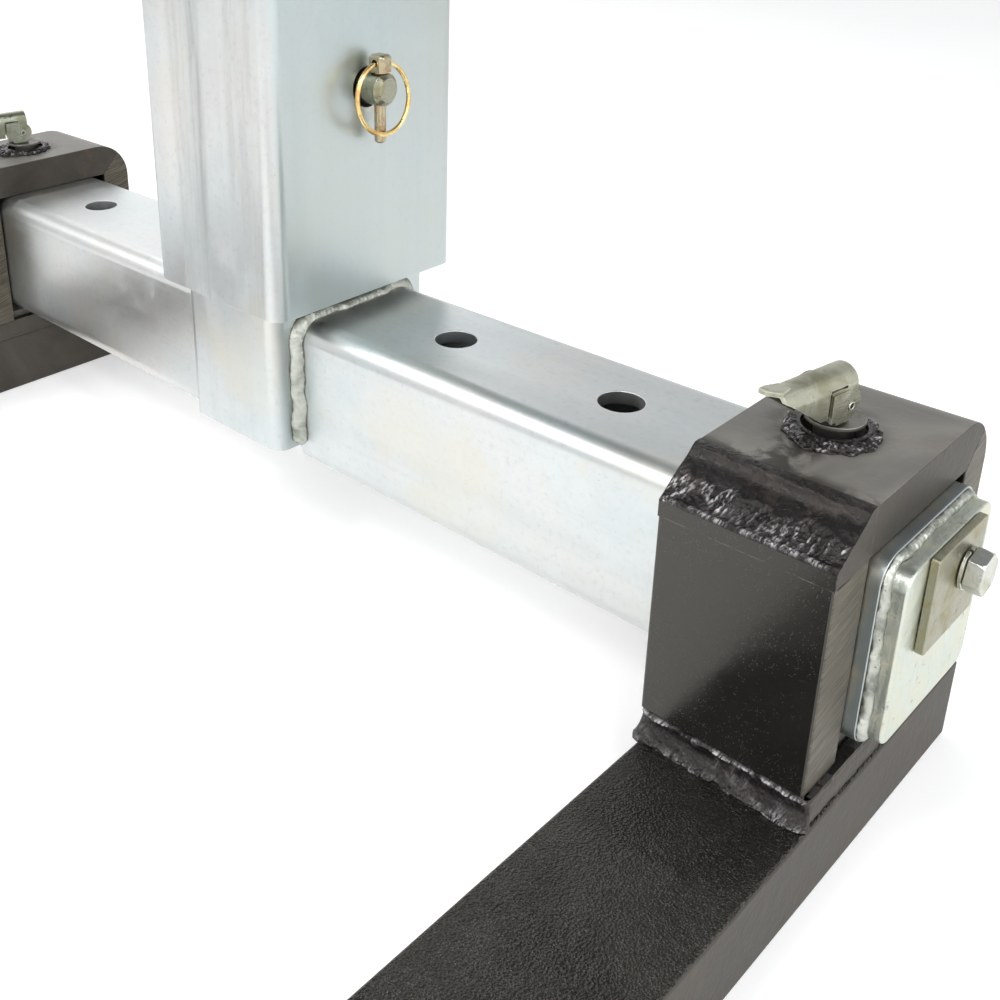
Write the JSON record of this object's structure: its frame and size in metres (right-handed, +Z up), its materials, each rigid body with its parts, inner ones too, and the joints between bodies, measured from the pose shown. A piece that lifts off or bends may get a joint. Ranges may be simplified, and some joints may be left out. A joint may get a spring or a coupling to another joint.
{
  "type": "adjustable crane pallet fork",
  "caption": "Pallet fork attachment: box-section cross beam with sliding locked forks and a pinned telescopic mast carrying a lifting arm.",
  "frame": {"origin": "on the floor under the middle of the outline", "axes": "+Z up the mast, +X along the cross beam, the forks point to -Y"},
  "size_m": [0.8892, 1.165, 1.299],
  "materials": {
    "zinc_plating": "satin zinc plating with rolled-tube streaks",
    "zinc_weld": "plated weld bead",
    "zinc_fastener": "zinc plating with a yellow-green tint",
    "zinc_lever": "olive zinc plated sheet",
    "gold_zinc_wire": "gold passivated wire",
    "black_paint": "glossy black paint over rough sawn bar",
    "black_weld": "glossy black paint over rippled weld"
  },
  "bodies": {
    "base": {"inner_post": "zinc_plating", "beam_right": "zinc_plating", "post_weld_right": "zinc_weld", "end_cap_right": "zinc_plating", "end_weld_right": "zinc_weld", "stop_bolt_right": "zinc_fastener", "stop_washer_right": "zinc_fastener", "beam_left": "zinc_plating", "post_weld_left": "zinc_weld", "end_cap_left": "zinc_plating", "end_weld_left": "zinc_weld", "stop_bolt_left": "zinc_fastener", "stop_washer_left": "zinc_fastener"},
    "mast": {"mast_tube": "zinc_plating", "mast_cap": "zinc_plating", "top_arm": "zinc_plating", "arm_cap": "zinc_plating", "arm_gusset": "zinc_plating", "lug_bar": "zinc_plating", "arm_weld": "zinc_weld"},
    "mast_pin": {"mast_pin": "zinc_fastener"},
    "lynch_pin": {"lynch_pin": "zinc_fastener"},
    "lynch_ring": {"lynch_ring": "gold_zinc_wire"},
    "fork_right": {"fork_blade_right": "black_paint", "sleeve_front_right": "black_paint", "sleeve_top_right": "black_paint", "sleeve_back_right": "black_paint", "sleeve_floor_right": "black_paint", "bevel_weld_right": "black_weld", "foot_weld_right": "black_weld", "cup_weld_right": "black_weld", "lock_cup_right": "black_paint"},
    "plunger_right": {"lock_plunger_right": "zinc_fastener", "lever_pin_right": "zinc_fastener"},
    "lever_right": {"lock_lever_right": "zinc_lever"},
    "stop_right": {"stop_plate_right": "zinc_fastener"},
    "fork_left": {"fork_blade_left": "black_paint", "sleeve_front_left": "black_paint", "sleeve_top_left": "black_paint", "sleeve_back_left": "black_paint", "sleeve_floor_left": "black_paint", "bevel_weld_left": "black_weld", "foot_weld_left": "black_weld", "cup_weld_left": "black_weld", "lock_cup_left": "black_paint"},
    "plunger_left": {"lock_plunger_left": "zinc_fastener", "lever_pin_left": "zinc_fastener"},
    "lever_left": {"lock_lever_left": "zinc_lever"},
    "stop_left": {"stop_plate_left": "zinc_fastener"}
  },
  "joints": [
    {"name": "mast_slide", "type": "slide", "parent": "base", "child": "mast", "axis": [0, 0, 1], "range_m": [0, 0.45]},
    {"name": "mast_pin_turn", "type": "hinge", "parent": "mast", "child": "mast_pin", "pos_m": [0, 0.4995, 0.3175], "axis": [1, 0, 0], "range_deg": [-180, 180]},
    {"name": "lynch_pin_lift", "type": "slide", "parent": "mast_pin", "child": "lynch_pin", "axis": [0, 0, 1], "range_m": [0, 0.014]},
    {"name": "lynch_ring_flip", "type": "hinge", "parent": "lynch_pin", "child": "lynch_ring", "pos_m": [0.072, 0.4995, 0.3333], "axis": [0, -1, 0], "range_deg": [0, 150]},
    {"name": "fork_slide_right", "type": "slide", "parent": "base", "child": "fork_right", "axis": [-1, 0, 0], "range_m": [0, 0.238]},
    {"name": "lock_plunger_right", "type": "slide", "parent": "fork_right", "child": "plunger_right", "axis": [0, 0, 1], "range_m": [-0.012, 0]},
    {"name": "lock_lever_right", "type": "hinge", "parent": "plunger_right", "child": "lever_right", "pos_m": [0.36889, 0.49605, 0.2175], "axis": [-0.9848, 0.1736, 0], "range_deg": [0, 90]},
    {"name": "stop_plate_turn_right", "type": "hinge", "parent": "base", "child": "stop_right", "pos_m": [0.432, 0.5075, 0.152], "axis": [1, 0, 0], "range_deg": [0, 180]},
    {"name": "fork_slide_left", "type": "slide", "parent": "base", "child": "fork_left", "axis": [1, 0, 0], "range_m": [0, 0.238]},
    {"name": "lock_plunger_left", "type": "slide", "parent": "fork_left", "child": "plunger_left", "axis": [0, 0, 1], "range_m": [-0.012, 0]},
    {"name": "lock_lever_left", "type": "hinge", "parent": "plunger_left", "child": "lever_left", "pos_m": [-0.37011, 0.49605, 0.2175], "axis": [-0.9848, 0.1736, 0], "range_deg": [0, 90]},
    {"name": "stop_plate_turn_left", "type": "hinge", "parent": "base", "child": "stop_left", "pos_m": [-0.432, 0.5075, 0.152], "axis": [1, 0, 0], "range_deg": [0, 180]}
  ],
  "couplings": [
    {"joint": "lock_plunger_right", "follows": "lock_lever_right", "m_per_rad": -0.0076394},
    {"joint": "lock_plunger_left", "follows": "lock_lever_left", "m_per_rad": -0.0076394}
  ]
}
